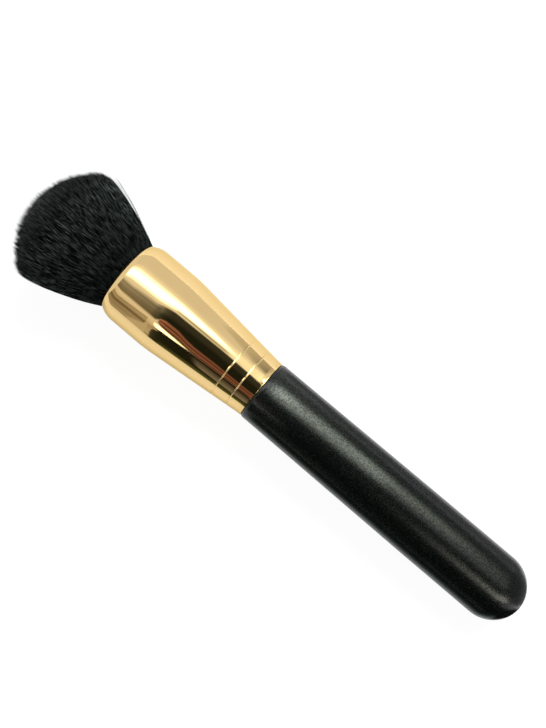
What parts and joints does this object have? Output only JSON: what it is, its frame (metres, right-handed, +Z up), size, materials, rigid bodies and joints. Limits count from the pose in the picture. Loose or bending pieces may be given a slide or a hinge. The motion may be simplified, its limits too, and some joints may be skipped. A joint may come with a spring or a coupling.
{
  "type": "foundation brush",
  "caption": "Cosmetic brush with a round-butted painted wooden handle, a tapered gold metal ferrule with a rolled mouth and rolled rings, and a full domed head of black hair.",
  "frame": {"origin": "on the surface that the brush lies on, under the middle of its length and width", "axes": "+X along the brush towards the tip of its head, +Z up; the brush's own axis rises 3.2 degrees towards the head, because it lies on its butt and on the widest place of its head"},
  "size_m": [0.1708, 0.0364, 0.0358],
  "materials": {
    "black_lacquer": "turned hardwood under a black satin lacquer with a fine pearl fleck",
    "gold_metal": "drawn aluminium, polished and anodised pale gold",
    "hair": "black synthetic filaments, soft and faintly glossy",
    "cement": "hard pale epoxy cement",
    "resin": "cast amber epoxy resin",
    "thread": "waxed pale thread"
  },
  "bodies": {
    "root": {"handle": "black_lacquer", "tenon_cement": "cement", "ferrule": "gold_metal", "root_resin": "resin", "binding_thread": "thread", "bristles_core": "hair", "bristles_inner": "hair", "bristles_middle": "hair", "bristles_outer": "hair"}
  },
  "joints": []
}
